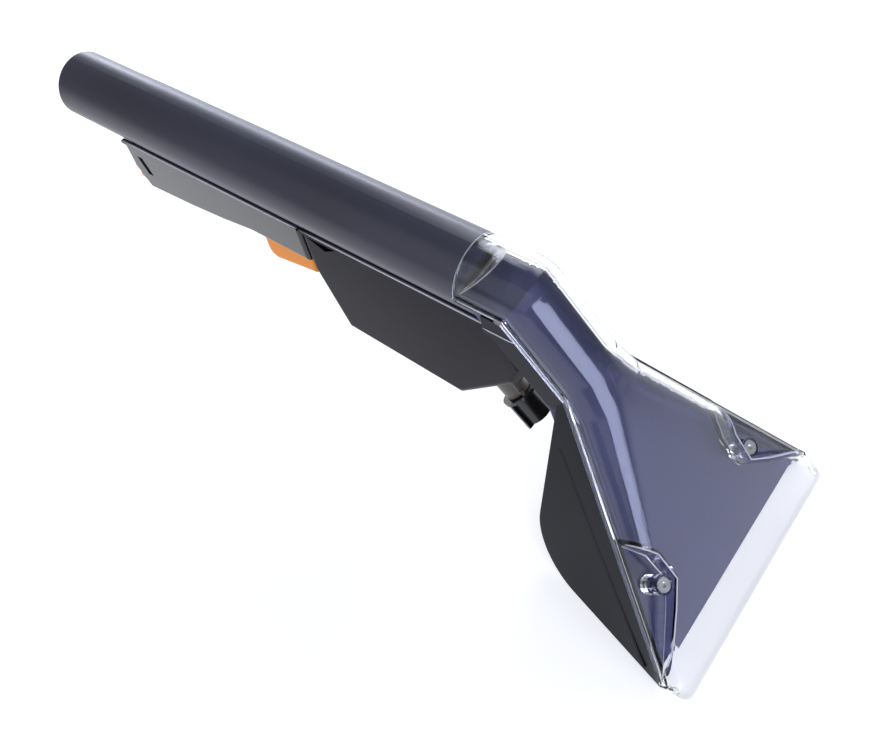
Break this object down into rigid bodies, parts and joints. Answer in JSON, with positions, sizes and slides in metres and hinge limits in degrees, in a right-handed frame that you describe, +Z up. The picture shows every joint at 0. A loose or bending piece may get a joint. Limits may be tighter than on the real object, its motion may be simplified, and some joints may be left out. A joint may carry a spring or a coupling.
{
  "type": "carpet cleaner hand tool",
  "caption": "Hand-held spray-extraction tool: suction tube with a finger trigger, valve housing, clear fan-shaped head and spray nozzle.",
  "frame": {"origin": "centre of the suction tube's open rear end", "axes": "+X forward along the suction tube towards the head, +Z up with the trigger below, Y across the tool"},
  "size_m": [0.3819, 0.133, 0.15],
  "materials": {
    "tube_plastic": "fine satin moulding",
    "tray_plastic": "fine satin moulding",
    "hood_plastic": "fine satin moulding",
    "housing_plastic": "fine satin moulding",
    "grip_plastic": "polished moulding",
    "clear_plastic": "clear polycarbonate, lightly scuffed",
    "orange_plastic": "satin moulding",
    "screw_steel": "zinc plated",
    "spring_steel": "drawn wire",
    "seal_rubber": "soft black",
    "pipe_plastic": "milky tubing",
    "fitting_plastic": "fine satin moulding",
    "stub_plastic": "satin moulding",
    "cap_plastic": "satin moulding",
    "valve_brass": "turned",
    "mesh_steel": "fine mesh",
    "tip_plastic": "satin moulding"
  },
  "bodies": {
    "root": {"suction_tube": "tube_plastic", "head_tray": "tray_plastic", "spray_hood": "hood_plastic", "clear_cover": "clear_plastic", "cover_screws": "screw_steel", "cover_seal": "seal_rubber", "grip_housing": "grip_plastic", "valve_housing": "housing_plastic", "housing_screws": "screw_steel", "trigger_pin": "screw_steel", "trigger_spring": "spring_steel", "latch_spring": "spring_steel", "inlet_socket": "fitting_plastic", "socket_oring": "seal_rubber", "socket_clip": "spring_steel", "inlet_pipe": "pipe_plastic", "valve_body": "fitting_plastic", "valve_gland": "valve_brass", "valve_spring": "spring_steel", "outlet_pipe": "pipe_plastic", "pipe_clamps": "spring_steel", "nozzle_holder": "stub_plastic", "nozzle_seal": "seal_rubber"},
    "trigger": {"trigger": "orange_plastic"},
    "plunger": {"valve_plunger": "valve_brass", "plunger_seals": "seal_rubber"},
    "latch": {"coupling_latch": "orange_plastic"},
    "cap": {"nozzle_cap": "cap_plastic", "nozzle_strainer": "mesh_steel", "spray_tip": "tip_plastic"}
  },
  "joints": [
    {"name": "trigger_pivot", "type": "hinge", "parent": "root", "child": "trigger", "pos_m": [0.164, 0, -0.027], "axis": [0, 1, 0], "range_deg": [0, 8], "stiffness_Nm_per_rad": 1.18, "springref_deg": -8.02, "deforming": ["trigger_spring"]},
    {"name": "plunger_slide", "type": "slide", "parent": "root", "child": "plunger", "axis": [0, 0, -1], "range_m": [0, 0.002], "deforming": ["valve_spring"]},
    {"name": "latch_slide", "type": "slide", "parent": "root", "child": "latch", "axis": [0, 0, 1], "range_m": [0, 0.0016], "stiffness_N_per_m": 800, "springref_m": -0.004, "deforming": ["latch_spring"]},
    {"name": "cap_turn", "type": "hinge", "parent": "root", "child": "cap", "pos_m": [0.2563, 0, -0.0778], "axis": [-0.6626, 0, 0.749], "range_deg": [0, 45]}
  ],
  "couplings": [
    {"joint": "plunger_slide", "follows": "trigger_pivot", "m_per_rad": 0.014}
  ]
}
